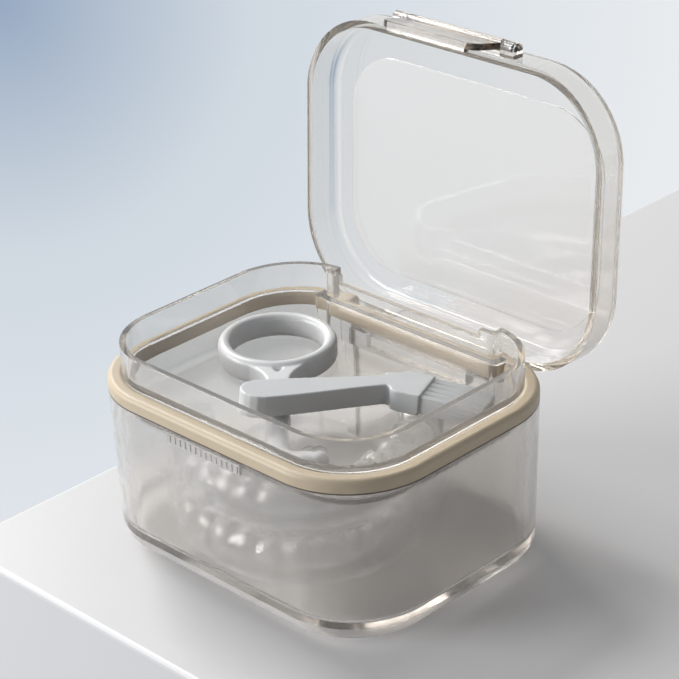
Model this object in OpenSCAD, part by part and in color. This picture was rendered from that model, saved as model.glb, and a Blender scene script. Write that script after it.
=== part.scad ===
// Orthodontic retainer case: a clear box with a hinged lid, a seal ring, a lift-out tray,
// a removal hook, a cleaning brush and two clear retainers.
// Origin at the middle of the underside, front face towards -Y, hinge towards +Y. The lid stands open.

/* [Case] */
// Width of the case along its front
case_w = 90; // [84:1:110]
// Depth of the case from front to hinge side
case_d = 72; // [68:1:90]
// Plan radius of the outer corners
corner_r = 21; // [18:0.5:23]

/* [Base] */
// Height of the base wall, up to the seal ring
base_h = 37.6; // [34:0.2:46]
// Wall of the base
base_wall = 2.2; // [1.6:0.1:2.6]
// Thickness of the clear floor
base_floor = 4.2; // [3:0.2:6]
// How much the base draws in at its foot, each side
base_draft = 0.9; // [0.2:0.1:1.4]
// Rounding of the foot edge
foot_r = 4; // [2:0.5:5]
// Length of the ridged catch under the ring
catch_l = 23; // [16:1:30]
// Height of the catch
catch_h = 2.3; // [1.6:0.1:3]
// How far the catch stands out of the wall
catch_out = 0.9; // [0.6:0.1:1.4]
// Ribs on the catch
catch_ribs = 14; // [6:1:20]

/* [Seal ring] */
// Height of the ring above the base wall
ring_h = 3.4; // [2.6:0.1:4.4]
// Width of the ring, seen from above
ring_w = 3.9; // [3.4:0.1:4.6]
// Rounding of the ring's top edges
ring_round = 1.3; // [0.6:0.1:1.6]

/* [Tray] */
// Height of the rim band that stands on the ring
band_h = 7.6; // [6:0.2:9]
// Depth of the tray below the ring's top
tray_drop = 9.2; // [7:0.2:12]
// Wall of the tray
tray_wall = 1.5; // [1:0.1:2]
// Floor of the tray
tray_floor = 1.5; // [1:0.1:2.4]
// How far the rim band reaches out over the ring
band_rest = 0.6; // [0.4:0.1:2]
// How much the tray draws in at its bottom, each side
tray_draft = 1; // [0.4:0.1:1.6]
// Rounding of the tray's bottom edge
tray_round = 2.5; // [1:0.5:3]
// Depth of the notch in the tray's rim at the hinge
tray_notch = 2; // [1:0.2:3]
// Diameter of the moulding gate's ring mark in the tray floor
gate_d = 6; // [4:0.5:8]

/* [Lid] */
// Outer depth of the lid
lid_depth = 9.6; // [9.4:0.1:13]
// Wall of the lid
lid_wall = 1.8; // [1.6:0.1:2.1]
// Top of the lid
lid_top = 1.6; // [1.2:0.1:1.7]
// Rounding of the lid's outer edge
lid_round = 3.2; // [1.6:0.2:4]
// Border of the sunk panel at the sides and back
panel_edge = 7; // [5:0.5:12]
// Border of the sunk panel at the front
panel_front = 11; // [8:0.5:16]
// Depth of the sunk panel
panel_sink = 0.4; // [0.2:0.1:0.6]
// Angle at which the lid stands open
lid_open = 93; // [80:1:95]

/* [Hinge] */
// Width of the recess in the back wall
recess_w = 44; // [36:1:46]
// Drop of the hinge pin below the ring's top
hinge_drop = 5; // [4:0.2:7]
// Hinge pin in from the back plane
hinge_in = 0.6; // [0.2:0.1:1.2]
// Hinge pin diameter
pin_d = 1.8; // [1.4:0.1:2]
// Knuckle diameter
knuckle_d = 3.4; // [3:0.1:4.4]
// Length of each base knuckle
knuckle_l = 6; // [4:0.5:8]
// Depth of the stop ledge under the lid's strap
ledge_h = 3; // [2:0.5:5]

/* [Clasp] */
// Width of the swinging clasp
clasp_w = 28; // [20:1:32]
// Thickness of the clasp plate
clasp_t = 1.6; // [1.2:0.1:2.2]
// Rounding of the plate's two free corners
clasp_round = 2.4; // [1:0.2:4]
// Diameter of the clasp's barrel and lugs
barrel_d = 3.2; // [2.8:0.1:4]
// Length of each lug on the lid
lug_l = 4; // [3:0.5:8]
// Clasp pin diameter
clasp_pin_d = 1.4; // [1:0.1:1.6]
// Height of the clasp's barrel above the lid's mouth
barrel_up = 2.4; // [2:0.1:4]
// Angle from the latched clasp to where it stands ajar
clasp_ajar = 10; // [8:1:30]

/* [Hook tool] */
// Outer diameter of the finger ring
loop_d = 28; // [24:0.5:30]
// Wall of the finger ring
loop_wall = 3; // [2.4:0.1:4]
// Height of the finger ring's band
loop_h = 6; // [4:0.2:6.6]
// Width of the stem
stem_w = 5.2; // [4:0.1:6]
// Distance from the finger ring's middle to the bend
stem_l = 48; // [40:0.5:49]
// Radius of the bend, on its middle line
bend_r = 6; // [5:0.2:7]
// Angle of the bend
bend_angle = 115; // [90:5:150]

/* [Brush] */
// Length of the handle up to the head
handle_l = 36; // [30:1:38]
// Width of the handle at its tail
handle_w = 9; // [6:0.5:10]
// Width of the neck
neck_w = 5; // [4:0.5:7]
// Thickness of the brush
brush_t = 5; // [4:0.2:6]
// Length of the head along the bristles
head_l = 7.6; // [6:0.2:9]
// Width of the head across the bristles
head_w = 12; // [10:0.2:13]
// Angle of the head to the handle
head_turn = 38; // [20:1:45]
// Length of the bristles
bristle_l = 14; // [8:0.5:14.5]
// Tufts across the head
tufts = 5; // [3:1:6]

/* [Retainers] */
// Half width of the tooth row at the last molar
arch_a = 26; // [22:0.5:28]
// Depth of the tooth row
arch_b = 38; // [30:0.5:40]
// Height of a retainer
shell_h = 10.6; // [8:0.2:12]
// Wall of a retainer
shell_t = 0.9; // [0.7:0.1:1.2]

/* [Hidden] */
$fn = 64;

// Clearances
seal_gap = 0.1;      // lid mouth over the ring
slip = 0.35;         // tray in the ring
run = 0.06;          // pins in their bores, on the radius
side_gap = 0.3;      // knuckles and lugs, along the pin
lay = 0.25;          // loose pieces over what they lie on
weld = 0.4;          // moulded features sunk into their wall

// Levels
ring_top = base_h + ring_h;
mouth_z = ring_top + seal_gap;
tray_z = ring_top - tray_drop;
rim_z = ring_top + band_h;
half_d = case_d / 2;

// Hinge
hinge_y = half_d - hinge_in;
hinge_z = ring_top - hinge_drop;
knuckle_r = knuckle_d / 2;
recess_y = hinge_y - knuckle_r - 0.5;
strap_l = recess_w - 2 * (knuckle_l + side_gap);

// Clasp, in the closed lid's frame
clasp_y = -half_d - max(barrel_d / 2 + 0.1, catch_out + clasp_t / 2 + 0.25);
clasp_z = mouth_z + barrel_up;
catch_top = base_h - 0.3;
catch_z = catch_top - catch_h;
tooth_z = catch_z - 0.3;
tooth_h = 1.6;

smoke = [0.62, 0.6, 0.57, 0.45];
clear = [0.75, 0.75, 0.74, 0.4];
beige = [0.78, 0.7, 0.57];
white = [0.94, 0.94, 0.94];

// Points of an arc, from angle a to angle b
function arc(x, y, r, a, b, n = 5) = [for (i = [0:n]) let (t = a + (b - a) * i / n) [x + r * cos(t), y + r * sin(t)]];

// Carries a profile (distance from the corner's centre, height) round the case's plan
module around() {
    hx = case_w / 2 - corner_r;
    hy = half_d - corner_r;
    for (k = [0:3])
        translate([k == 0 || k == 3 ? hx : -hx, k < 2 ? hy : -hy, 0])
            rotate(90 * k) rotate_extrude(angle = 90) children();
    for (s = [0, 180]) {
        rotate(s) translate([hx, hy, 0]) rotate([90, 0, 0]) linear_extrude(2 * hy) children();
        rotate(s + 90) translate([hy, hx, 0]) rotate([90, 0, 0]) linear_extrude(2 * hx) children();
    }
}

// A solid loaf whose side follows the profile between two levels
module loaf(low, high) {
    around() children();
    translate([corner_r - case_w / 2, corner_r - half_d, low])
        cube([case_w - 2 * corner_r, case_d - 2 * corner_r, high - low]);
}

// The hinge recess, grown by a margin on the inside
module recess(low, high, grow) {
    w = recess_w + 2 * grow;
    r = 1.2;
    y = recess_y - grow;
    translate([0, 0, low]) linear_extrude(high - low) polygon(concat(
        arc(w / 2 - r, y + r, r, 0, -90),
        arc(r - w / 2, y + r, r, 270, 180),
        [[-w / 2, case_d], [w / 2, case_d]]
    ));
}

// Turns a piece of the closed lid to where the lid stands open
module opened() {
    translate([0, hinge_y, hinge_z]) rotate([-lid_open, 0, 0]) translate([0, -hinge_y, -hinge_z]) children();
}

// A round bar along X
module bar(length, d) {
    rotate([0, 90, 0]) cylinder(d = d, h = length, center = true);
}

module base_shell() {
    color(smoke) difference() {
        union() {
            difference() {
                loaf(0, base_h) polygon(concat(
                    [[0, base_h], [0, 0]],
                    arc(corner_r - base_draft - foot_r, foot_r, foot_r, -90, 0),
                    [[corner_r, base_h]]
                ));
                recess(-1, base_h + 1, 0);
                difference() {
                    loaf(base_floor, base_h + 1) polygon(concat(
                        [[0, base_h + 1], [0, base_floor]],
                        arc(corner_r - base_draft - base_wall - 2, base_floor + 2, 2, -90, 0),
                        [[corner_r - base_wall, base_h], [corner_r - base_wall, base_h + 1]]
                    ));
                    recess(0, base_h + 2, base_wall);
                }
            }
            base_knuckles();
            translate([-strap_l / 2, recess_y - weld, hinge_z - knuckle_r - 0.15 - ledge_h])
                cube([strap_l, half_d - recess_y + weld, ledge_h]);
        }
        translate([0, hinge_y, hinge_z]) bar(recess_w + 2, pin_d);
    }
}

module base_knuckles() {
    for (s = [-1, 1]) translate([s * (recess_w - knuckle_l) / 2, 0, 0]) {
        translate([0, hinge_y, hinge_z]) bar(knuckle_l, knuckle_d);
        translate([-knuckle_l / 2, recess_y - weld, hinge_z - knuckle_r])
            cube([knuckle_l, hinge_y - recess_y + weld, knuckle_r]);
    }
}

module catch_strip() {
    pitch = catch_l / catch_ribs;
    y = -half_d;
    color(smoke) {
        translate([-catch_l / 2, y - catch_out + 0.3, catch_z]) cube([catch_l, catch_out - 0.3, catch_h]);
        for (i = [0:catch_ribs - 1])
            translate([(i + 0.25) * pitch - catch_l / 2, y - catch_out, catch_z + 0.3])
                cube([pitch / 2, 0.4, catch_h - 0.6]);
    }
}

// Section of the seal ring, moulded onto the top of the base wall
module ring_section() {
    inner = corner_r - ring_w;
    polygon(concat(
        [[inner, base_h], [corner_r, base_h]],
        arc(corner_r - ring_round, ring_top - ring_round, ring_round, 0, 90),
        arc(inner + ring_round, ring_top - ring_round, ring_round, 90, 180)
    ));
}

module seal_ring() {
    jog = half_d - recess_y;
    hx = recess_w / 2 + ring_w;
    color(beige) {
        difference() {
            around() ring_section();
            recess(0, ring_top + 1, ring_w / 2);
        }
        intersection() {
            union() {
                translate([-hx, recess_y - corner_r, 0])
                    rotate([90, 0, 90]) linear_extrude(2 * hx) ring_section();
                for (s = [0, 1]) mirror([s, 0, 0])
                    translate([hx - ring_w, half_d, 0]) rotate([90, 0, 0]) linear_extrude(jog + ring_w)
                        mirror([1, 0]) translate([-corner_r, 0]) ring_section();
            }
            difference() {
                loaf(0, ring_top) square([corner_r, ring_top]);
                recess(-1, ring_top + 1, 0);
            }
            recess(-1, ring_top + 1, ring_w);
        }
    }
}

module hinge_pin() {
    color("silver") translate([0, hinge_y, hinge_z]) bar(recess_w + 2, pin_d);
}

module lid_shell() {
    top = mouth_z + lid_depth;
    color(smoke) opened() difference() {
        union() {
            difference() {
                loaf(mouth_z, top) polygon(concat(
                    [[0, top], [0, mouth_z], [corner_r, mouth_z]],
                    arc(corner_r - lid_round, top - lid_round, lid_round, 0, 90)
                ));
                loaf(mouth_z - 1, top - lid_top) polygon(concat(
                    [[0, top - lid_top], [0, mouth_z - 1], [corner_r - lid_wall, mouth_z - 1]],
                    arc(corner_r - lid_wall - 1.4, top - lid_top - 1.4, 1.4, 0, 90)
                ));
                lid_panel(top - panel_sink);
            }
            lid_strap();
            lid_lugs();
        }
        translate([0, hinge_y, hinge_z]) bar(strap_l + 1, pin_d + 2 * run);
        translate([0, clasp_y, clasp_z]) bar(clasp_w + 2 * lug_l - 2, clasp_pin_d);
    }
}

// The shallow panel sunk into the lid's outside
module lid_panel(level) {
    r = corner_r - panel_edge;
    w = case_w - 2 * panel_edge - 2 * r;
    low = panel_front - half_d + r;
    translate([0, 0, level]) linear_extrude(2) {
        for (x = [-w / 2, w / 2], y = [low, half_d - corner_r]) translate([x, y]) circle(r);
        translate([-w / 2 - r, low]) square([w + 2 * r, half_d - corner_r - low]);
        translate([-w / 2, low - r]) square([w, half_d - corner_r - low + 2 * r]);
    }
}

// The hinge strap that runs down the back of the lid to its knuckle
module lid_strap() {
    translate([0, hinge_y, hinge_z]) bar(strap_l, knuckle_d);
    translate([-strap_l / 2, hinge_y - 0.3, hinge_z])
        cube([strap_l, knuckle_r + 0.3, hinge_drop + seal_gap + lid_depth / 2]);
}

// The two lugs on the lid's front that hold the clasp
module lid_lugs() {
    for (s = [-1, 1]) translate([s * (clasp_w / 2 + side_gap + lug_l / 2), 0, 0]) {
        translate([0, clasp_y, clasp_z]) bar(lug_l, barrel_d);
        translate([-lug_l / 2, clasp_y, clasp_z - barrel_d / 2])
            cube([lug_l, -half_d - clasp_y + weld, barrel_d]);
    }
}

module clasp() {
    tip = tooth_z - tooth_h;
    flat = clasp_w - 2 * clasp_round;
    color(smoke) opened()
        translate([0, clasp_y, clasp_z]) rotate([-clasp_ajar, 0, 0]) translate([0, -clasp_y, -clasp_z]) difference() {
            union() {
                translate([0, clasp_y, clasp_z]) bar(clasp_w, barrel_d);
                translate([0, clasp_y + clasp_t / 2, 0]) rotate([90, 0, 0]) linear_extrude(clasp_t) {
                    translate([-clasp_w / 2, tip + clasp_round]) square([clasp_w, clasp_z - tip - clasp_round]);
                    translate([-flat / 2, tip]) square([flat, clasp_round]);
                    for (s = [-1, 1]) translate([s * flat / 2, tip + clasp_round]) circle(clasp_round);
                }
                translate([-flat / 2, clasp_y - clasp_t / 2, tip])
                    cube([flat, -half_d - 0.3 - clasp_y + clasp_t / 2, tooth_h]);
            }
            translate([0, clasp_y, clasp_z]) bar(clasp_w + 1, clasp_pin_d + 2 * run);
        }
}

module clasp_pin() {
    color("silver") opened() translate([0, clasp_y, clasp_z]) bar(clasp_w + 2 * lug_l - 2, clasp_pin_d);
}

gate_at = [14, -17];
gate_deep = 0.4;

module tray() {
    u = corner_r - ring_w - slip;
    band_u = corner_r - ring_w + band_rest;
    margin = ring_w + slip;
    color(clear) {
        difference() {
            union() {
                difference() {
                    loaf(tray_z, ring_top) polygon(concat(
                        [[0, ring_top], [0, tray_z]],
                        arc(u - tray_draft - tray_round, tray_z + tray_round, tray_round, -90, 0),
                        [[u, ring_top]]
                    ));
                    recess(0, ring_top + 1, margin);
                }
                difference() {
                    loaf(ring_top, rim_z) translate([0, ring_top]) square([band_u, band_h]);
                    recess(0, rim_z + 1, ring_w - band_rest);
                }
            }
            difference() {
                loaf(tray_z + tray_floor, rim_z + 1) polygon(concat(
                    [[0, rim_z + 1], [0, tray_z + tray_floor]],
                    arc(u - tray_draft - tray_wall - 1.5, tray_z + tray_floor + 1.5, 1.5, -90, 0),
                    [[u - tray_wall, ring_top], [band_u - tray_wall, ring_top + tray_wall],
                    [band_u - tray_wall, rim_z + 1]]
                ));
                recess(0, ring_top + tray_wall, margin + tray_wall + tray_draft);
                recess(0, rim_z + 2, ring_w - band_rest + tray_wall);
            }
            translate([0, 0, rim_z - tray_notch]) linear_extrude(tray_notch + 1)
                translate([-recess_w / 2, recess_y - ring_w - tray_wall - 1]) square([recess_w, ring_w + tray_wall + 2]);
            translate([gate_at.x, gate_at.y, tray_z + tray_floor - gate_deep]) difference() {
                cylinder(d = gate_d, h = 1);
                translate([0, 0, -1]) cylinder(d = gate_d - 1.6, h = 3);
            }
        }
    }
}

// Half sizes of the tray's inside at its floor
tray_in = [case_w / 2, half_d] - (ring_w + slip + tray_wall + tray_draft) * [1, 1];

// The hook lies along the tray's diagonal: middle of its finger ring, room at the walls, heading and slope
hook_side = 0.65;
hook_back = 6.05;
hook_front = 0.82;
stem_t = 4.4;
loop_at = [loop_d / 2 + hook_side - tray_in.x, tray_in.y - loop_d / 2 - hook_back];
hook_fall = tray_in.y + loop_at.y - hook_front - bend_r - stem_w / 2;
hook_heading = -asin(hook_fall / norm([stem_l, bend_r])) - atan2(bend_r, stem_l);
hook_slope = asin((loop_h - stem_t) / 2 / (stem_l + bend_r));

module hook_tool() {
    inner_r = loop_d / 2 - loop_wall;
    z = tray_z + tray_floor + lay + loop_h / 2;
    color(white) translate([loop_at.x, loop_at.y, z]) rotate(hook_heading) rotate([0, hook_slope, 0]) {
        rotate_extrude() translate([inner_r, 0]) loop_section();
        difference() {
            union() {
                rotate([0, 90, 0]) linear_extrude(stem_l) stem_section();
                translate([0, 0, -stem_t / 2]) linear_extrude(stem_t) fork(inner_r);
            }
            cylinder(r = inner_r + loop_wall / 2, h = 3 * loop_h, center = true);
            translate([loop_d / 2 + 0.6, 0, stem_t / 2 - 0.8]) cylinder(d = 3, h = 2, $fn = 3);
        }
        translate([stem_l, bend_r, 0]) {
            rotate(-90) rotate_extrude(angle = bend_angle) translate([bend_r, 0]) rotate(90) stem_section();
            rotate(bend_angle - 90) translate([bend_r, 0, 0]) sphere(d = stem_t);
        }
    }
}

// Section of the finger ring's band, rounded top and bottom
module loop_section() {
    r = loop_wall / 2;
    translate([r, loop_h / 2 - r]) circle(r);
    translate([r, r - loop_h / 2]) circle(r);
    translate([0, r - loop_h / 2]) square([loop_wall, loop_h - 2 * r]);
}

// Section of the stem: a flat bar with round edges
module stem_section() {
    for (s = [-1, 1]) translate([0, s * (stem_w - stem_t) / 2]) circle(d = stem_t);
    square([stem_t, stem_w - stem_t], center = true);
}

// The fork where the stem spreads into the finger ring
module fork(inner_r) {
    reach = loop_d / 2 + 6;
    polygon([
        for (s = [-1, 1], i = [0:6])
            let (t = (s < 0 ? i : 6 - i) / 6)
            [reach - (reach - inner_r) * t, s * (stem_w / 2 + 5.5 * t * t)]
    ]);
}

// The brush lies across the hook's stem with its bristles down: tail of its handle, heading and reach
brush_heading = 62;
brush_side = 2.28;
head_heading = brush_heading - head_turn;
brush_span = [
    handle_l * cos(brush_heading) + (head_l + bristle_l) * cos(head_heading) + head_w / 2 * sin(head_heading),
    handle_l * sin(brush_heading) + (head_l + bristle_l) * sin(head_heading) + head_w / 2 * cos(head_heading)
];
tail_at = [tray_in.x - brush_side - brush_span.x, 0.53 - brush_span.y / 2];
brush_reach = handle_l + (head_l + bristle_l) * cos(head_turn) + head_w / 2 * sin(head_turn);

// Where the brush crosses the stem, from its tail, and how high that holds the tail
cross_edge = 4.3;
across = [-sin(hook_heading), cos(hook_heading)];
crossing = (loop_at - tail_at) * across / ([cos(brush_heading), sin(brush_heading)] * across);
cross_share = (crossing + cross_edge) / brush_reach;
tail_up = ((loop_h + stem_t) / 2 - lay * cross_share) / (1 - cross_share);
brush_dip = asin((tail_up - lay) / brush_reach);

module brush_frame() {
    translate([tail_at.x, tail_at.y, tray_z + tray_floor + tail_up])
        rotate(brush_heading) rotate([0, brush_dip, 0]) children();
}

// The head's frame: middle of the bristles' root, bristles along +X
module head_frame() {
    brush_frame() translate([handle_l, 0, 0]) rotate(-head_turn) translate([head_l, 0, 0]) children();
}

module brush_handle() {
    color(white) {
        brush_frame() linear_extrude(brush_t) polygon(concat(
            arc(handle_w / 2, 0, handle_w / 2, 90, 270, 8),
            [for (i = [0:8]) let (t = i / 8) [handle_w / 2 + (handle_l - handle_w / 2) * t, -handle_half(t)]],
            [for (i = [8:-1:0]) let (t = i / 8) [handle_w / 2 + (handle_l - handle_w / 2) * t, handle_half(t)]]
        ));
        head_frame() translate([-head_l, 0, 0]) linear_extrude(brush_t) polygon(concat(
            [[head_l - slice, -head_w / 2], [head_l - slice, head_w / 2]],
            arc(2.5, head_w / 2 - 2.5, 2.5, 90, 160),
            [[-3, neck_w / 2], [-3, -neck_w / 2]],
            arc(2.5, 2.5 - head_w / 2, 2.5, 200, 270)
        ));
    }
}
slice = 1;
function handle_half(t) = (handle_w + (neck_w - handle_w) * (1 - cos(180 * t)) / 2) / 2;

// Bristles: square strands in tufts, standing on a slice of the head
strands_a_tuft = 4;
layers = 15;
strand = 0.26;
tuft_space = 0.5;

module brush_bristles() {
    cols = tufts * strands_a_tuft;
    step_y = (head_w - 1.2 - (tufts - 1) * tuft_space) / cols;
    step_z = (brush_t - 0.8) / layers;
    y0 = 0.6 - head_w / 2;
    // lines between the cells, with the space between tufts shared by the cells beside it
    ys = [for (i = [0:cols]) i == 0 ? -head_w / 2 : i == cols ? head_w / 2
        : y0 + i * step_y + (floor(i / strands_a_tuft) - (i % strands_a_tuft == 0 ? 0.5 : 0)) * tuft_space];
    zs = [for (k = [0:layers]) k == 0 ? 0 : k == layers ? brush_t : 0.4 + k * step_z];
    grid = [for (i = [0:cols], k = [0:layers]) [0, ys[i], zs[k]]];
    back = [for (p = grid) [-slice, p.y, p.z]];
    roots = [for (i = [0:cols - 1], k = [0:layers - 1], x = [0, 1], c = [[-1, -1], [1, -1], [1, 1], [-1, 1]])
        let (y = y0 + (i + 0.5) * step_y + floor(i / strands_a_tuft) * tuft_space, z = 0.4 + (k + 0.5) * step_z)
        [x * bristle_l * (1 - 0.03 * ((i * 7 + k * 5) % 4)), y + c.x * strand / 2, z + c.y * strand / 2]];
    n = len(grid);
    function at(i, k) = i * (layers + 1) + k;
    cells = [for (i = [0:cols - 1], k = [0:layers - 1])
        let (r = 2 * n + 8 * (i * layers + k), g = [at(i, k), at(i + 1, k), at(i + 1, k + 1), at(i, k + 1)])
        for (j = [0:3]) let (m = (j + 1) % 4)
        each [[g[j], r + m, g[m]], [g[j], r + j, r + m], [r + j, r + 4 + m, r + m], [r + j, r + 4 + j, r + 4 + m]]];
    tips = [for (i = [0:cols - 1], k = [0:layers - 1]) let (r = 2 * n + 8 * (i * layers + k) + 4)
        each [[r, r + 2, r + 1], [r, r + 3, r + 2]]];
    rear = [for (i = [0:cols - 1], k = [0:layers - 1])
        each [[n + at(i, k), n + at(i + 1, k), n + at(i + 1, k + 1)], [n + at(i, k), n + at(i + 1, k + 1), n + at(i, k + 1)]]];
    edge = concat(
        [for (i = [0:cols]) at(i, 0)],
        [for (k = [1:layers]) at(cols, k)],
        [for (i = [cols - 1:-1:0]) at(i, layers)],
        [for (k = [layers - 1:-1:1]) at(0, k)]
    );
    side = [for (j = [0:len(edge) - 1]) let (a = edge[j], b = edge[(j + 1) % len(edge)])
        each [[a, b, n + b], [a, n + b, n + a]]];
    color("white") head_frame() polyhedron(concat(grid, back, roots), concat(cells, tips, rear, side));
}

// Tooth widths from the midline back, and how broad the biting edge of each is
tooth_w = [8.5, 6.6, 7.6, 7, 6.8, 9.6, 9];
tooth_top = [0.9, 0.9, 1.3, 2.6, 2.8, 4, 3.8];
steps = 4;

function sum_to(list, i) = i <= 0 ? 0 : list[i - 1] + sum_to(list, i - 1);

// One station of a retainer: sweep from the midline, height, half width at the biting edge and at the root
function station(i, s) = let (
    total = sum_to(tooth_w, len(tooth_w)),
    t = abs(s),
    bulge = 1 - pow(2 * t, 4),
    share = (sum_to(tooth_w, i) + tooth_w[i] * (0.5 + s)) / total
) [share * 92, shell_h - 1.6 * pow(2 * t, 3), tooth_top[i] * (0.8 + 0.2 * bulge), 3.4 + tooth_top[i] * 0.4 + 0.6 * bulge];

// Section points, outwards and up, of the outer or the inner face
function shell_points(q, t) = let (h = q[1] - t, top = q[2] - t / 3, root = q[3] - t) [
    [root - 0.2, 0], [root, h * 0.35], [root * 0.7 + top * 0.3, h * 0.75], [top, h],
    [-top, h - 0.3], [-root * 0.6 - top * 0.3, h * 0.7], [-root * 0.9, h * 0.3], [-root + 0.2, 0]
];

module retainer() {
    right = [for (i = [0:len(tooth_w) - 1], j = [0:steps - 1]) station(i, j / steps - 0.5)];
    last = station(len(tooth_w) - 1, 0.5);
    half = concat(right, [last]);
    all = concat([for (i = [len(half) - 1:-1:1]) [-half[i][0], half[i][1], half[i][2], half[i][3]]], half);
    count = len(all);
    points = [for (q = all) each let (
        at = [arch_a * sin(q[0]), arch_b * cos(q[0])],
        out = [arch_b * sin(q[0]), arch_a * cos(q[0])] / norm([arch_b * sin(q[0]), arch_a * cos(q[0])]),
        outer = shell_points(q, 0),
        inner = shell_points(q, shell_t)
    ) [for (p = concat(outer, [for (k = [7:-1:0]) inner[k]])) [at.x + out.x * p.x, at.y + out.y * p.x, p.y]]];
    n = 16;
    walls = [for (i = [0:count - 2], k = [0:n - 1]) let (a = i * n + k, b = i * n + (k + 1) % n)
        each [[a, b, b + n], [a, b + n, a + n]]];
    ends = [for (k = [0:6]) let (a = k, b = 15 - k, z = (count - 1) * n)
        each [[a, b, b - 1], [a, b - 1, a + 1], [z + a, z + b - 1, z + b], [z + a, z + a + 1, z + b - 1]]];
    polyhedron(points, concat(walls, ends));
}

// Where the two retainers lie, one on the other
arch_at = [-12, 6];
lower_turn = -132;
upper_turn = -140;
upper_shift = [-3, 4];

module lower_retainer() {
    color(clear) translate([arch_at.x, arch_at.y, base_floor + lay]) rotate(lower_turn) retainer();
}

module upper_retainer() {
    color(clear) translate([arch_at.x + upper_shift.x, arch_at.y + upper_shift.y, base_floor + shell_h + 2 * lay])
        rotate(upper_turn) retainer();
}

base_shell();
catch_strip();
seal_ring();
hinge_pin();
lid_shell();
clasp();
clasp_pin();
tray();
hook_tool();
brush_handle();
brush_bristles();
lower_retainer();
upper_retainer();
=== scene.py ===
from math import cos, radians, sin

import bpy
from mathutils import Matrix, Vector


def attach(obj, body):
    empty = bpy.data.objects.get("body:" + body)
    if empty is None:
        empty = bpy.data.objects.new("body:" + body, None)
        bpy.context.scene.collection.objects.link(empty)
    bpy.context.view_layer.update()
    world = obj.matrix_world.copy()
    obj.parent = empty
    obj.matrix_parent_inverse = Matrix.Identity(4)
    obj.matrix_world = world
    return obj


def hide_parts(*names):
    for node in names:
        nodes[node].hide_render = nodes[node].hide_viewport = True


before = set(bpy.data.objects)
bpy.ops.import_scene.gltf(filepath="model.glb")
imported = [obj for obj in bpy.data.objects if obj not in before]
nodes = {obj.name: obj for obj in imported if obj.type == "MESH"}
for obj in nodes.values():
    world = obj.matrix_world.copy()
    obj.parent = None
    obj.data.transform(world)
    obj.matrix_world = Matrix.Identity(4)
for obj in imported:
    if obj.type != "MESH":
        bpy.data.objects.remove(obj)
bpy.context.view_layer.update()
print("frame loaded:", len(nodes), "nodes")

mm = 0.001
scene = bpy.context.scene
scene.view_settings.view_transform = "Standard"
scene.cycles.max_bounces = 28  # the walls are many and clear
scene.cycles.transmission_bounces = 28
scene.cycles.glossy_bounces = 8
scene.cycles.transparent_max_bounces = 40
scene.cycles.caustics_refractive = False  # lamps pass the clear walls as shadow rays already
scene.cycles.caustics_reflective = False

# small tools

moulding = dict(merge=0.004, flat=0.4, sharp=50.0, steps=2, smooth=32.0, weight=80)


def freshStart():
    if bpy.context.object and bpy.context.object.mode != "OBJECT":
        bpy.ops.object.mode_set(mode="OBJECT")
    bpy.ops.object.select_all(action="DESELECT")


def only(piece):
    freshStart()
    piece.select_set(True)
    bpy.context.view_layer.objects.active = piece


def editAll(piece, tool, **settings):
    # one edit mode tool on the whole mesh
    only(piece)
    bpy.ops.object.mode_set(mode="EDIT")
    bpy.ops.mesh.select_all(action="SELECT")
    tool(**settings)
    bpy.ops.object.mode_set(mode="OBJECT")


def useModifier(piece, kind, **settings):
    only(piece)
    mod = piece.modifiers.new(kind.lower(), kind)
    for key, value in settings.items():
        setattr(mod, key, value)
    bpy.ops.object.modifier_apply(modifier=mod.name)


def cadCopy(node, name):
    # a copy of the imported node, merged, to be worked on
    piece = bpy.data.objects.new(name, nodes[node].data.copy())
    scene.collection.objects.link(piece)
    only(piece)
    if piece.data.has_custom_normals:
        bpy.ops.mesh.customdata_custom_splitnormals_clear()
    editAll(piece, bpy.ops.mesh.remove_doubles, threshold=moulding["merge"] * mm)
    return piece


def smoothShade(piece, angle):
    only(piece)
    bpy.ops.object.shade_smooth_by_angle(angle=radians(angle))


def polish(node, name, ease):
    # moulded copy of a node: flat faces joined, sharp edges eased
    piece = cadCopy(node, name)
    editAll(piece, bpy.ops.mesh.dissolve_limited, angle_limit=radians(moulding["flat"]))
    useModifier(piece, "BEVEL", width=ease * mm, segments=moulding["steps"], limit_method="ANGLE",
                angle_limit=radians(moulding["sharp"]), use_clamp_overlap=True)
    smoothShade(piece, moulding["smooth"])
    useModifier(piece, "WEIGHTED_NORMAL", keep_sharp=True, weight=moulding["weight"])
    return piece


def remoulded(piece, voxel, rounds):
    # one flowing skin over the piece's shape
    useModifier(piece, "REMESH", mode="VOXEL", voxel_size=voxel * mm, use_smooth_shade=True)
    useModifier(piece, "SMOOTH", factor=0.5, iterations=rounds)
    return piece


def placed(piece, place):
    piece.data.transform(place)
    piece.data.update()


def joined(pieces, name):
    freshStart()
    for piece in pieces:
        piece.select_set(True)
    bpy.context.view_layer.objects.active = pieces[0]
    bpy.ops.object.join()
    pieces[0].name = name
    return pieces[0]


def dress(piece, body, slot, material, *replaced):
    piece.data.materials.clear()
    piece.data.materials.append(material)
    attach(piece, body)
    if replaced:
        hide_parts(*replaced)


# parts of a material

noiseSpan = (0.3, 0.7)  # nearly all of a noise lies between these


def newMaterial(name):
    material = bpy.data.materials.new(name)
    material.use_nodes = True
    tree = material.node_tree
    tree.nodes.clear()
    out = tree.nodes.new("ShaderNodeOutputMaterial")
    shader = tree.nodes.new("ShaderNodeBsdfPrincipled")
    tree.links.new(shader.outputs["BSDF"], out.inputs["Surface"])
    return material, tree, shader, out


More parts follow.
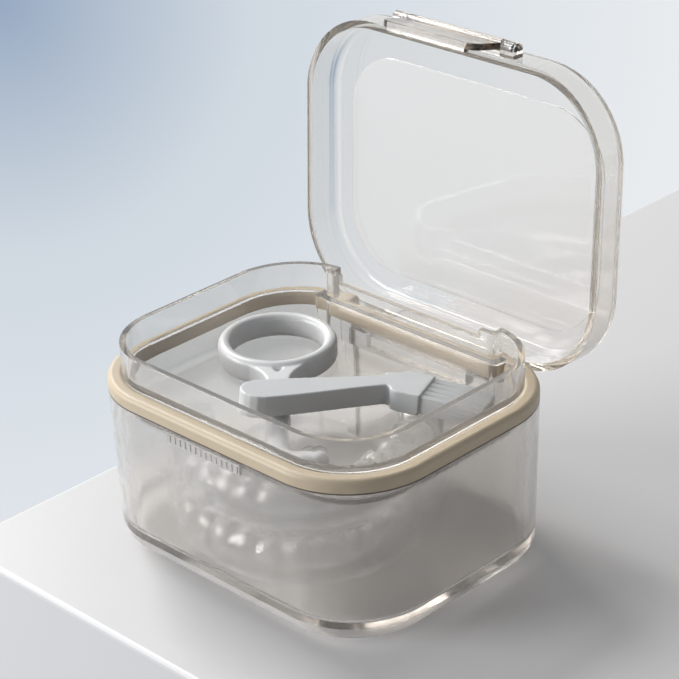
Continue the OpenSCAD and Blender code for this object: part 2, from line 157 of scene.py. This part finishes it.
def grain(tree, scale, detail=2.0, rough=0.5):
    spot = tree.nodes.new("ShaderNodeTexCoord")
    noise = tree.nodes.new("ShaderNodeTexNoise")
    noise.inputs["Scale"].default_value = scale
    noise.inputs["Detail"].default_value = detail
    noise.inputs["Roughness"].default_value = rough
    tree.links.new(spot.outputs["Object"], noise.inputs["Vector"])
    return noise.outputs["Fac"]


def marked(tree, name):
    # the value that the piece's faces carry under this name
    where = tree.nodes.new("ShaderNodeAttribute")
    where.attribute_name = name
    return where.outputs["Fac"]


def spread(tree, value, low, high):
    span = tree.nodes.new("ShaderNodeMapRange")
    span.inputs["From Min"].default_value, span.inputs["From Max"].default_value = noiseSpan
    span.inputs["To Min"].default_value = low
    span.inputs["To Max"].default_value = high
    tree.links.new(value, span.inputs["Value"])
    return span.outputs["Result"]


def bumpy(tree, shader, value, strength, depth):
    bump = tree.nodes.new("ShaderNodeBump")
    bump.inputs["Strength"].default_value = strength
    bump.inputs["Distance"].default_value = depth * mm
    tree.links.new(value, bump.inputs["Height"])
    tree.links.new(bump.outputs["Normal"], shader.inputs["Normal"])
    return bump


def blotch(tree, value, dark, light):
    mix = tree.nodes.new("ShaderNodeMix")
    mix.data_type = "RGBA"
    mix.inputs["A"].default_value = (*dark, 1)
    mix.inputs["B"].default_value = (*light, 1)
    tree.links.new(value, mix.inputs["Factor"])
    return mix.outputs["Result"]


def paler(tree, value, mark, share):
    # less of the value on the faces that carry the mark
    less = tree.nodes.new("ShaderNodeMath")
    less.operation = "MULTIPLY_ADD"
    less.inputs[1].default_value = -share
    tree.links.new(marked(tree, mark), less.inputs[0])
    tree.links.new(value, less.inputs[2])
    return less.outputs["Value"]


def higher(tree, one, other):
    most = tree.nodes.new("ShaderNodeMath")
    most.operation = "MAXIMUM"
    tree.links.new(one, most.inputs[0])
    tree.links.new(other, most.inputs[1])
    return most.outputs["Value"]


# clear finishes: tint is for each wall, smoke and density for the depth of the plastic, milk for
# the share that scatters (plain, frosted), shade for what light keeps on its way through

clearSkin = dict(detail=3.0, rough=0.6, glossPlay=0.025, frostPlay=0.08, bump=(0.06, 0.45))
baseFinish = dict(tint=(0.965, 0.957, 0.948), density=14, gloss=0.02, frost=0.04,
                  shade=(0.965, 0.96, 0.955), skinScale=1300, skinDeep=0.14, milk=(0.03, 0.09),
                  within=(0.86, 0.83, 0.80), dim=(0.34, 0.33, 0.32), sole=0.42)
lidFinish = dict(tint=(1.0, 0.985, 0.965), density=85, gloss=0.015, frost=0.30,
                 shade=(0.90, 0.895, 0.89), smoke=(0.70, 0.66, 0.60), milk=(0.03, 0.28))
claspFinish = dict(tint=(0.86, 0.84, 0.81), density=260, gloss=0.03, frost=0.1,
                   shade=(0.85, 0.845, 0.84), smoke=(0.60, 0.54, 0.47))
stripFinish = dict(tint=(0.80, 0.785, 0.765), density=30, gloss=0.14, frost=0.14,
                   shade=(0.85, 0.845, 0.84), milk=(0.5, 0.5))
trayFinish = dict(tint=(1.0, 0.99, 0.975), density=70, gloss=0.01, frost=0.1,
                  shade=(0.975, 0.97, 0.965), smoke=(0.70, 0.66, 0.60), milk=(0.10, 0.10))
filmFinish = dict(tint=(0.98, 0.985, 0.985), density=20, gloss=0.02, frost=0.1,
                  shade=(0.93, 0.93, 0.93), skinScale=500, skinDeep=0.1, smoke=(0.9, 0.92, 0.93),
                  ior=1.56, milk=(0.10, 0.10))


def clearPlastic(name, tint, density, gloss, frost, shade, skinScale=2600, skinDeep=0.04,
                 smoke=(0.66, 0.60, 0.53), ior=1.47, milk=(0.0, 0.0), within=None, dim=None,
                 sole=0.0):
    # within and dim are the tint and the shade of frosted faces, sole is more milk at the foot
    material, tree, shader, out = newMaterial(name)
    shader.inputs["Base Color"].default_value = (*tint, 1)
    shader.inputs["Transmission Weight"].default_value = 1 - milk[0]
    shader.inputs["IOR"].default_value = ior
    frosted = marked(tree, "frost")
    if within:
        tree.links.new(blotch(tree, frosted, tint, within), shader.inputs["Base Color"])
    if milk[1] != milk[0]:
        passed = spread(tree, frosted, 1 - milk[0], 1 - milk[1])
        if sole:
            passed = paler(tree, passed, "foot", sole)
        tree.links.new(passed, shader.inputs["Transmission Weight"])
    skin = grain(tree, skinScale, clearSkin["detail"], clearSkin["rough"])
    rough = tree.nodes.new("ShaderNodeMix")
    tree.links.new(frosted, rough.inputs["Factor"])
    plain = spread(tree, skin, gloss, gloss + clearSkin["glossPlay"])
    tree.links.new(plain, rough.inputs["A"])
    hazed = spread(tree, skin, frost, frost + clearSkin["frostPlay"])
    tree.links.new(hazed, rough.inputs["B"])
    tree.links.new(rough.outputs["Result"], shader.inputs["Roughness"])
    bump = bumpy(tree, shader, skin, clearSkin["bump"][0], skinDeep)
    tree.links.new(spread(tree, frosted, *clearSkin["bump"]), bump.inputs["Strength"])
    depth = tree.nodes.new("ShaderNodeVolumeAbsorption")
    depth.inputs["Color"].default_value = (*smoke, 1)
    depth.inputs["Density"].default_value = density
    tree.links.new(depth.outputs["Volume"], out.inputs["Volume"])
    thru = tree.nodes.new("ShaderNodeBsdfTransparent")  # light and bounced light go straight on
    thru.inputs["Color"].default_value = (*shade, 1)
    if dim:
        tree.links.new(blotch(tree, frosted, shade, dim), thru.inputs["Color"])
    path = tree.nodes.new("ShaderNodeLightPath")
    soft = higher(tree, path.outputs["Is Shadow Ray"], path.outputs["Is Diffuse Ray"])
    mix = tree.nodes.new("ShaderNodeMixShader")
    tree.links.new(soft, mix.inputs["Fac"])
    tree.links.new(shader.outputs["BSDF"], mix.inputs[1])
    tree.links.new(thru.outputs["BSDF"], mix.inputs[2])
    tree.links.new(mix.outputs["Shader"], out.inputs["Surface"])
    return material


smokeBase = clearPlastic("smokeBase", **baseFinish)
smokeLid = clearPlastic("smokeLid", **lidFinish)
smokeClasp = clearPlastic("smokeClasp", **claspFinish)
ribbedSmoke = clearPlastic("ribbedSmoke", **stripFinish)
clearTray = clearPlastic("clearTray", **trayFinish)
retainerFilm = clearPlastic("retainerFilm", **filmFinish)

# solid finishes

# the line colour is a painted shadow along the ring's lower edge, where it meets the base
ringFinish = dict(dark=(0.62, 0.515, 0.37), light=(0.68, 0.575, 0.425), cloud=160,
                  line=(0.11, 0.085, 0.065), skin=2600, rough=(0.40, 0.52), bump=0.2, deep=0.04,
                  glow=0.08, bleed=(1.5, 1.0, 0.6))


def siliconeFinish():
    material, tree, shader, out = newMaterial("beigeSilicone")
    cloud = grain(tree, ringFinish["cloud"])
    edge = tree.nodes.new("ShaderNodeMix")  # painted shadow: the dark line where the ring meets the base
    edge.data_type = "RGBA"
    edge.inputs["B"].default_value = (*ringFinish["line"], 1)
    tree.links.new(marked(tree, "shadowSeam"), edge.inputs["Factor"])
    tree.links.new(blotch(tree, cloud, ringFinish["dark"], ringFinish["light"]), edge.inputs["A"])
    tree.links.new(edge.outputs["Result"], shader.inputs["Base Color"])
    fine = grain(tree, ringFinish["skin"])
    tree.links.new(spread(tree, fine, *ringFinish["rough"]), shader.inputs["Roughness"])
    shader.inputs["Subsurface Weight"].default_value = ringFinish["glow"]
    shader.inputs["Subsurface Radius"].default_value = Vector(ringFinish["bleed"]) * mm
    bumpy(tree, shader, fine, ringFinish["bump"], ringFinish["deep"])
    return material


whiteSkin = dict(cloud=140, skin=1800, play=0.09, bump=0.12, deep=0.03, bleed=(2.0, 2.0, 2.0))
toolFinish = dict(light=(0.83, 0.84, 0.845), dark=(0.79, 0.80, 0.81), rough=0.26, glow=0.12)
handleFinish = dict(light=(0.80, 0.82, 0.83), dark=(0.75, 0.77, 0.785), rough=0.34, glow=0.25)
bristleFinish = dict(light=(0.84, 0.85, 0.85), dark=(0.78, 0.79, 0.80), rough=0.35, glow=0.15)


def whiteFinish(name, light, dark, rough, glow):
    material, tree, shader, out = newMaterial(name)
    cloud = grain(tree, whiteSkin["cloud"])
    tree.links.new(blotch(tree, cloud, dark, light), shader.inputs["Base Color"])
    fine = grain(tree, whiteSkin["skin"])
    tree.links.new(spread(tree, fine, rough, rough + whiteSkin["play"]), shader.inputs["Roughness"])
    shader.inputs["Subsurface Weight"].default_value = glow
    shader.inputs["Subsurface Radius"].default_value = Vector(whiteSkin["bleed"]) * mm
    bumpy(tree, shader, fine, whiteSkin["bump"], whiteSkin["deep"])
    return material


pinFinish = dict(dark=(0.42, 0.42, 0.43), light=(0.58, 0.58, 0.59), lines=900, rough=(0.22, 0.36))


def steelFinish():
    material, tree, shader, out = newMaterial("drawnSteel")
    shader.inputs["Metallic"].default_value = 1.0
    lines = grain(tree, pinFinish["lines"])
    tone = blotch(tree, lines, pinFinish["dark"], pinFinish["light"])
    tree.links.new(tone, shader.inputs["Base Color"])
    tree.links.new(spread(tree, lines, *pinFinish["rough"]), shader.inputs["Roughness"])
    return material


beigeSilicone = siliconeFinish()
whitePlastic = whiteFinish("whitePlastic", **toolFinish)
frostedWhite = whiteFinish("frostedWhite", **handleFinish)
nylonWhite = whiteFinish("nylonWhite", **bristleFinish)
drawnSteel = steelFinish()
print("materials made")

# shells

casePlan = dict(wide=90.0, deep=72.0, corner=21.0, wall=1.6, floor=3.0, rim=37.6, ease=0.25,
                hazy=0.35, level=0.5, foot=4.1, soleEdge=5.5, under=-0.98)
# the first ring value is the height of the painted shadow band at the ring's foot, in millimetres
ringPlan = dict(shadowSeam=0.34, skin=0.5)
stripPlan = dict(ease=0.1)
lidPlan = dict(ease=0.3, hinge=(0, 35.4, 36.0), open=93.0, outside=14.3, slack=0.08, square=0.99)
claspPlan = dict(ease=0.3)
trayPlan = dict(ease=0.3)
shadowSeamTop = (casePlan["rim"] + ringPlan["shadowSeam"]) * mm


def wallDepth(spot):
    # how far inside the case's outline a point lies, in millimetres
    side = abs(spot.x) / mm - (casePlan["wide"] / 2 - casePlan["corner"])
    ahead = abs(spot.y) / mm - (casePlan["deep"] / 2 - casePlan["corner"])
    past = Vector((max(side, 0), max(ahead, 0))).length + min(max(side, ahead), 0)
    return casePlan["corner"] - past


def markFaces(piece, name, chosen):
    # the chosen faces of the piece carry the mark that its material reads
    mark = piece.data.attributes.new(name, "FLOAT", "FACE")
    mark.data.foreach_set("value", [float(chosen(face)) for face in piece.data.polygons])


def insideOfBase(face):
    # the walls are frosted, the floor only a little
    spot, facing = face.center, face.normal.z
    outer = spot.z < casePlan["floor"] * mm or wallDepth(spot) < casePlan["wall"]
    if outer or facing < -casePlan["level"]:
        return 0.0
    return casePlan["hazy"] if facing > casePlan["level"] else 1.0


def footEdge(face):
    # the rounding right round the foot, not the flat underside
    low = face.center.z < casePlan["foot"] * mm and face.normal.z > casePlan["under"]
    return low and wallDepth(face.center) < casePlan["soleEdge"]


def sunkPanel(face):
    # the panel's own flat face on the outside of the open lid
    turn = radians(-lidPlan["open"])
    outward = Vector((0, -sin(turn), cos(turn)))
    away = (face.center - Vector(lidPlan["hinge"]) * mm).dot(outward) / mm
    onPanel = abs(away - lidPlan["outside"]) < lidPlan["slack"]
    return onPanel and face.normal.dot(outward) > lidPlan["square"]


def ringShadowSeam(face):
    # the lowest band of the ring's outer face, which gets the painted shadow line
    return face.center.z < shadowSeamTop and wallDepth(face.center) < ringPlan["skin"]


baseShell = polish("base_shell", "baseShell", casePlan["ease"])
dress(baseShell, "base", "smoke_case", smokeBase, "base_shell")
markFaces(baseShell, "frost", insideOfBase)
markFaces(baseShell, "foot", footEdge)
catchStrip = polish("catch_strip", "catchStrip", stripPlan["ease"])
dress(catchStrip, "base", "smoke_case", ribbedSmoke, "catch_strip")
sealRing = polish("seal_ring", "sealRing", casePlan["ease"])
dress(sealRing, "base", "beige_silicone", beigeSilicone, "seal_ring")
# the ring's lowest band is cut apart and marked for the painted shadow line
editAll(sealRing, bpy.ops.mesh.bisect, plane_co=(0, 0, shadowSeamTop), plane_no=(0, 0, 1))
markFaces(sealRing, "shadowSeam", ringShadowSeam)
lidShell = polish("lid_shell", "lidShell", lidPlan["ease"])
dress(lidShell, "lid", "smoke_lid", smokeLid, "lid_shell")
markFaces(lidShell, "frost", sunkPanel)
claspPlate = polish("clasp", "claspPlate", claspPlan["ease"])
dress(claspPlate, "clasp", "smoke_lid", smokeClasp, "clasp")
trayShell = polish("tray", "trayShell", trayPlan["ease"])
dress(trayShell, "tray", "clear_tray", clearTray, "tray")
for node in ("hinge_pin", "clasp_pin"):
    nodes[node].data.materials[0] = drawnSteel
print("shells made")

# tools

hookPlan = dict(voxel=0.28, rounds=6)

hookTool = remoulded(cadCopy("hook_tool", "hookTool"), **hookPlan)
dress(hookTool, "hook", "white_plastic", whitePlastic, "hook_tool")

brush = dict(tail=(-3.104, -22.496, 40.002), heading=62.0, dip=6.5326, handle=36.0, turn=-38.0,
             head=7.6, wide=12.0, thick=5.0, slice=1.6, voxel=0.22, rounds=9)
bristles = dict(long=14.0, thin=0.155, sides=6, middle=0.5, taper=0.93, end=0.99, tip=0.55,
                smooth=50.0, tufts=5, across=5, deep=16, space=0.45, rim=0.5, root=0.3, splay=2.3,
                stray=0.35, lift=0.4, uneven=0.025)


def headFrame():
    # where the bristles start: they run along X from here
    tail = Matrix.Translation(Vector(brush["tail"]) * mm)
    heading = Matrix.Rotation(radians(brush["heading"]), 4, "Z")
    dip = Matrix.Rotation(radians(brush["dip"]), 4, "Y")
    neck = Matrix.Translation((brush["handle"] * mm, 0, 0))
    turn = Matrix.Rotation(radians(brush["turn"]), 4, "Z")
    return tail @ heading @ dip @ neck @ turn @ Matrix.Translation((brush["head"] * mm, 0, 0))


def makeHandle():
    # the handle with the head's end slice grown into it, as one soft moulding
    handle = cadCopy("brush_handle", "brushHandle")
    freshStart()
    bpy.ops.mesh.primitive_cube_add(size=1)
    end = bpy.context.object
    size = Vector((brush["slice"], brush["wide"], brush["thick"])) * mm
    editAll(end, bpy.ops.transform.resize, value=size)
    editAll(end, bpy.ops.transform.translate, value=(-size.x / 2, 0, size.z / 2))
    placed(end, headFrame())
    handle = joined([handle, end], "brushHandle")
    return remoulded(handle, brush["voxel"], brush["rounds"])


def makeStrand():
    # one strand along X, drawn in at its tip
    length = bristles["long"] * mm
    freshStart()
    bpy.ops.mesh.primitive_cylinder_add(vertices=bristles["sides"], radius=bristles["thin"] * mm,
                                        depth=length)
    strand = bpy.context.object
    editAll(strand, bpy.ops.transform.translate, value=(0, 0, length / 2))
    for share in (bristles["middle"], bristles["taper"]):
        editAll(strand, bpy.ops.mesh.bisect, plane_co=(0, 0, length * share), plane_no=(0, 0, 1))
    for point in strand.data.vertices:
        point.select = point.co.z > length * bristles["end"]
    bpy.ops.object.mode_set(mode="EDIT")
    bpy.ops.mesh.select_mode(type="VERT")
    bpy.ops.transform.resize(value=(bristles["tip"], bristles["tip"], 1))
    bpy.ops.object.mode_set(mode="OBJECT")
    placed(strand, Matrix.Rotation(radians(90), 4, "Y"))
    smoothShade(strand, bristles["smooth"])
    return strand


def makeBristles():
    # tufts side by side, each strand leaning and ending a little differently
    first = makeStrand()
    start = headFrame()
    tufts, across, deep = bristles["tufts"], bristles["across"], bristles["deep"]
    rim, space = bristles["rim"], bristles["space"]
    columns = tufts * across
    stepY = (brush["wide"] - 2 * rim - (tufts - 1) * space) / columns
    stepZ = (brush["thick"] - 2 * rim) / deep
    strands = []
    for column in range(columns):
        inTuft = (column % across + 0.5) / across - 0.5
        y = rim + (column + 0.5) * stepY + column // across * space - brush["wide"] / 2
        for layer in range(deep):
            z = rim + (layer + 0.5) * stepZ
            stray = bristles["stray"] * sin(column * 2.3 + layer * 4.1)
            lift = bristles["lift"] * sin(column * 3.7 + layer * 1.9)
            long = 1 - bristles["uneven"] * ((column * 7 + layer * 5) % 4) / 3
            root = Matrix.Translation(Vector((-bristles["root"], y, z)) * mm)
            lean = Matrix.Rotation(radians(bristles["splay"] * inTuft + stray), 4, "Z")
            rise = Matrix.Rotation(radians(lift), 4, "Y")
            strand = bpy.data.objects.new("strand", first.data.copy())
            scene.collection.objects.link(strand)
            placed(strand, start @ root @ lean @ rise @ Matrix.Diagonal((long, 1, 1, 1)))
            strands.append(strand)
    bpy.data.objects.remove(first)
    print("bristles made:", len(strands))
    return joined(strands, "brushBristles")


brushHandle = makeHandle()
dress(brushHandle, "brush", "white_plastic", frostedWhite, "brush_handle")
brushBristles = makeBristles()
dress(brushBristles, "brush", "nylon_bristle", nylonWhite, "brush_bristles")
print("tools made")

# retainers

filmPlan = dict(face=60.0, shape=80.0, levels=2)

for node, name in (("lower_retainer", "lowerRetainer"), ("upper_retainer", "upperRetainer")):
    film = cadCopy(node, name)
    editAll(film, bpy.ops.mesh.tris_convert_to_quads, face_threshold=radians(filmPlan["face"]),
            shape_threshold=radians(filmPlan["shape"]))
    useModifier(film, "SUBSURF", levels=filmPlan["levels"], render_levels=filmPlan["levels"])
    only(film)
    bpy.ops.object.shade_smooth()
    dress(film, node, "retainer_film", retainerFilm, node)
print("retainers made")

# table and light

tableBlock = dict(left=-62.0, front=-61.5, long=900.0, high=420.0, edge=1.2, gap=0.02, cloud=6,
                  dark=(0.80, 0.80, 0.81), light=(0.83, 0.83, 0.84), rough=0.4)


def tableTop():
    # a white block with the case near its corner
    freshStart()
    half, high = tableBlock["long"] / 2 * mm, tableBlock["high"] * mm
    middle = (tableBlock["left"] * mm + half, tableBlock["front"] * mm + half,
              -high / 2 - tableBlock["gap"] * mm)
    bpy.ops.mesh.primitive_cube_add(size=1, location=middle)
    table = bpy.context.object
    table.name = "table"
    table.scale = (half * 2, half * 2, high)
    bpy.ops.object.transform_apply(location=True, rotation=True, scale=True)
    useModifier(table, "BEVEL", width=tableBlock["edge"] * mm, segments=3, limit_method="ANGLE")
    material, tree, shader, out = newMaterial("tableWhite")
    cloud = grain(tree, tableBlock["cloud"])
    tone = blotch(tree, cloud, tableBlock["dark"], tableBlock["light"])
    tree.links.new(tone, shader.inputs["Base Color"])
    shader.inputs["Roughness"].default_value = tableBlock["rough"]
    table.data.materials.append(material)


tableTop()

skyTones = dict(fill=0.20, tint=(0.95, 0.97, 1.0), dusk=(-0.767, 0.566, -0.302), near=0.0,
                reach=0.30, turn=0.35, low=(0.31, 0.40, 0.54), middle=(0.63, 0.69, 0.75),
                high=(0.82, 0.845, 0.87))


def studioSky():
    # a plain fill for the light, and a pale blue backdrop that the eye and the clear plastic see
    world = bpy.data.worlds.new("studio")
    scene.world = world
    world.use_nodes = True
    tree = world.node_tree
    tree.nodes.clear()
    make, link = tree.nodes.new, tree.links.new
    out = make("ShaderNodeOutputWorld")
    fill = make("ShaderNodeBackground")
    fill.inputs["Color"].default_value = (*skyTones["tint"], 1)
    fill.inputs["Strength"].default_value = skyTones["fill"]
    spot = make("ShaderNodeTexCoord")
    away = make("ShaderNodeVectorMath")
    away.operation = "DISTANCE"
    away.inputs[1].default_value = skyTones["dusk"]
    link(spot.outputs["Generated"], away.inputs[0])
    span = make("ShaderNodeMapRange")
    span.inputs["From Min"].default_value = skyTones["near"]
    span.inputs["From Max"].default_value = skyTones["reach"]
    link(away.outputs["Value"], span.inputs["Value"])
    ramp = make("ShaderNodeValToRGB")
    ramp.color_ramp.elements[0].color = (*skyTones["low"], 1)
    ramp.color_ramp.elements[1].color = (*skyTones["high"], 1)
    ramp.color_ramp.elements.new(skyTones["turn"]).color = (*skyTones["middle"], 1)
    link(span.outputs["Result"], ramp.inputs["Fac"])
    backdrop = make("ShaderNodeBackground")
    link(ramp.outputs["Color"], backdrop.inputs["Color"])
    path = make("ShaderNodeLightPath")
    seen = higher(tree, path.outputs["Is Camera Ray"], path.outputs["Is Glossy Ray"])
    seen = higher(tree, seen, path.outputs["Is Transmission Ray"])
    mix = make("ShaderNodeMixShader")
    link(seen, mix.inputs["Fac"])
    link(fill.outputs["Background"], mix.inputs[1])
    link(backdrop.outputs["Background"], mix.inputs[2])
    link(mix.outputs["Shader"], out.inputs["Surface"])


studioSky()

keyBox = dict(place=(-0.72, 0.16, 0.68), aim=(0, 0, 0.04), size=(0.40, 0.40), power=7.2,
              colour=(1.0, 0.985, 0.965))
frontBox = dict(place=(-0.70, -0.85, 0.30), aim=(0, 0, 0.05), size=(0.6, 0.5), power=10.5,
                colour=(0.985, 0.99, 1.0))


def softbox(name, place, aim, size, power, colour):
    freshStart()
    bpy.ops.object.light_add(type="AREA", location=place)
    lamp = bpy.context.object
    lamp.name = name
    lamp.data.shape = "RECTANGLE"
    lamp.data.size, lamp.data.size_y = size
    lamp.data.energy = power
    lamp.data.color = colour
    lamp.rotation_euler = (Vector(aim) - Vector(place)).to_track_quat("-Z", "Y").to_euler()


softbox("keyBox", **keyBox)
softbox("frontBox", **frontBox)
print("light set")

# camera, at the photograph's angle

view = dict(yaw=45.29, pitch=26.35, roll=-2.2, far=523.3, focal=2328.0, right=4.11, up=8.77,
            aim=40.0, frame=679.0, sensor=36.0)


def photoCamera():
    yaw, pitch, roll = (radians(view[key]) for key in ("yaw", "pitch", "roll"))
    back = Vector((sin(yaw) * cos(pitch), -cos(yaw) * cos(pitch), sin(pitch)))
    level = Vector((cos(yaw), sin(yaw), 0))
    rise = back.cross(level)
    right = cos(roll) * level + sin(roll) * rise
    up = -sin(roll) * level + cos(roll) * rise
    place = Vector((0, 0, view["aim"])) + back * view["far"]
    place = place + right * view["right"] + up * view["up"]
    data = bpy.data.cameras.new("photoCamera")
    data.sensor_width = view["sensor"]
    data.lens = view["sensor"] * view["focal"] / view["frame"]
    camera = bpy.data.objects.new("photoCamera", data)
    turned = Matrix((right, up, back)).transposed().to_4x4()
    camera.matrix_world = Matrix.Translation(place * mm) @ turned
    scene.collection.objects.link(camera)
    scene.camera = camera


photoCamera()
print("camera set")
